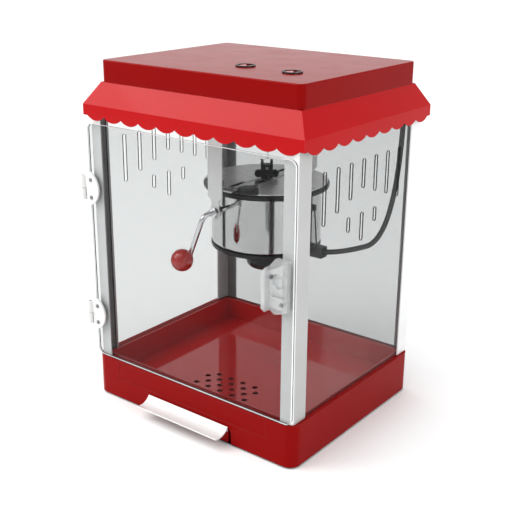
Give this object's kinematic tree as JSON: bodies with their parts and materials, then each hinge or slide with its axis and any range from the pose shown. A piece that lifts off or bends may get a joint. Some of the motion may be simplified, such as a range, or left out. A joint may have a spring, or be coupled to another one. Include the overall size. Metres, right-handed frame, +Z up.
{
  "type": "popcorn maker",
  "caption": "Tabletop theatre-style popcorn maker: glazed red cabinet with a tilting stirred kettle, hinged clear door and crumb drawer.",
  "frame": {"origin": "middle of the whole outline, on the surface it stands on", "axes": "+X to the right seen from the front, +Y to the back, +Z up; the door and drawer face -Y"},
  "size_m": [0.3274, 0.2884, 0.4315],
  "materials": {
    "red_paint": "gloss",
    "red_inner": "gloss",
    "grey_frame": "satin",
    "clear_acrylic": "polished",
    "clear_moulding": "polished",
    "white_plastic": "gloss",
    "black_plastic": "satin",
    "black_rubber": "matte",
    "red_plastic": "gloss",
    "polished_steel": "mirror",
    "steel": "satin",
    "white_paint": "satin",
    "lamp_glass": "clear"
  },
  "bodies": {
    "cabinet": {"awning": "red_paint", "base_housing": "red_paint", "cable_gland": "black_plastic", "ceiling_plate": "white_paint", "drawer_rails": "steel", "gaskets": "black_rubber", "gearbox": "black_plastic", "hanger_front": "white_paint", "hanger_rear": "white_paint", "heater_cable": "black_rubber", "hinge_leaves_fixed": "white_plastic", "hinge_pins": "steel", "lamp_bulb": "lamp_glass", "lamp_holder": "black_plastic", "mains_gland": "black_plastic", "motor_bracket": "steel", "pan_walls": "red_inner", "perforated_floor": "red_inner", "post_front_left": "grey_frame", "post_front_right": "grey_frame", "post_rear_left": "grey_frame", "post_rear_right": "grey_frame", "rear_panel": "clear_acrylic", "roof_cap": "red_paint", "rubber_feet": "black_rubber", "side_panel_left": "clear_acrylic", "side_panel_right": "clear_acrylic", "stir_motor": "steel", "strike_plate": "white_plastic", "switch_bezels": "black_plastic"},
    "door": {"door_panel": "clear_acrylic", "hinge_leaves_door": "white_plastic", "door_handle": "clear_moulding", "door_screws": "steel"},
    "drawer": {"drawer_tray": "red_paint", "drawer_pull": "white_plastic"},
    "kettle": {"kettle_pot": "polished_steel", "rim_collar": "black_plastic", "bottom_cover": "black_plastic", "heater_plate": "steel", "hub_bearing": "steel", "crank_rod": "polished_steel", "crank_ball": "red_plastic", "rear_pivot": "polished_steel", "pivot_nuts": "polished_steel", "lid_bridge": "polished_steel", "lid_pins": "black_plastic", "latch_tab": "black_plastic", "kettle_plug": "black_plastic"},
    "left_lid": {"lid_left": "polished_steel", "lid_tab_left": "black_plastic"},
    "right_lid": {"lid_right": "polished_steel", "lid_tab_right": "black_plastic"},
    "stirrer": {"stir_shaft": "polished_steel", "wing_coupling": "black_plastic", "set_screw": "steel"},
    "drive": {"drive_sleeve": "steel"},
    "drive_rod": {"drive_shaft": "polished_steel"},
    "heat_switch": {"rocker_heat": "red_plastic"},
    "light_switch": {"rocker_light": "red_plastic"}
  },
  "joints": [
    {"name": "door_swing", "type": "hinge", "parent": "cabinet", "child": "door", "pos_m": [-0.15968, -0.12308, 0.2], "axis": [0, 0, -1], "range_deg": [0, 115]},
    {"name": "drawer_slide", "type": "slide", "parent": "cabinet", "child": "drawer", "axis": [0, -1, 0], "range_m": [0, 0.09]},
    {"name": "kettle_tilt", "type": "hinge", "parent": "cabinet", "child": "kettle", "pos_m": [0.00232, 0.03293, 0.263], "axis": [0, -1, 0], "range_deg": [0, 95], "deforming": ["heater_cable"]},
    {"name": "left_lid_open", "type": "hinge", "parent": "kettle", "child": "left_lid", "pos_m": [-0.00827, 0.03293, 0.28], "axis": [0, 1, 0], "range_deg": [0, 35]},
    {"name": "right_lid_open", "type": "hinge", "parent": "kettle", "child": "right_lid", "pos_m": [0.01293, 0.03293, 0.28], "axis": [0, -1, 0], "range_deg": [0, 35]},
    {"name": "drive_spin", "type": "hinge", "parent": "cabinet", "child": "drive", "pos_m": [0.00232, 0.03293, 0.4], "axis": [0, 0, 1], "continuous": true},
    {"name": "drive_rise", "type": "slide", "parent": "drive", "child": "drive_rod", "axis": [0, 0, 1], "range_m": [0, 0.0514]},
    {"name": "stirrer_spin", "type": "hinge", "parent": "kettle", "child": "stirrer", "pos_m": [0.00232, 0.03293, 0.25], "axis": [0, 0, 1], "continuous": true},
    {"name": "heat_switch_rock", "type": "hinge", "parent": "cabinet", "child": "heat_switch", "pos_m": [0.02193, -0.03458, 0.428], "axis": [0, 1, 0], "range_deg": [0, 7]},
    {"name": "light_switch_rock", "type": "hinge", "parent": "cabinet", "child": "light_switch", "pos_m": [0.09162, -0.04118, 0.428], "axis": [0, 1, 0], "range_deg": [0, 7]}
  ],
  "couplings": [
    {"joint": "stirrer_spin", "follows": "drive_spin", "ratio": 1},
    {"joint": "drive_rise", "follows": "kettle_tilt", "m_per_rad": 0.031}
  ]
}
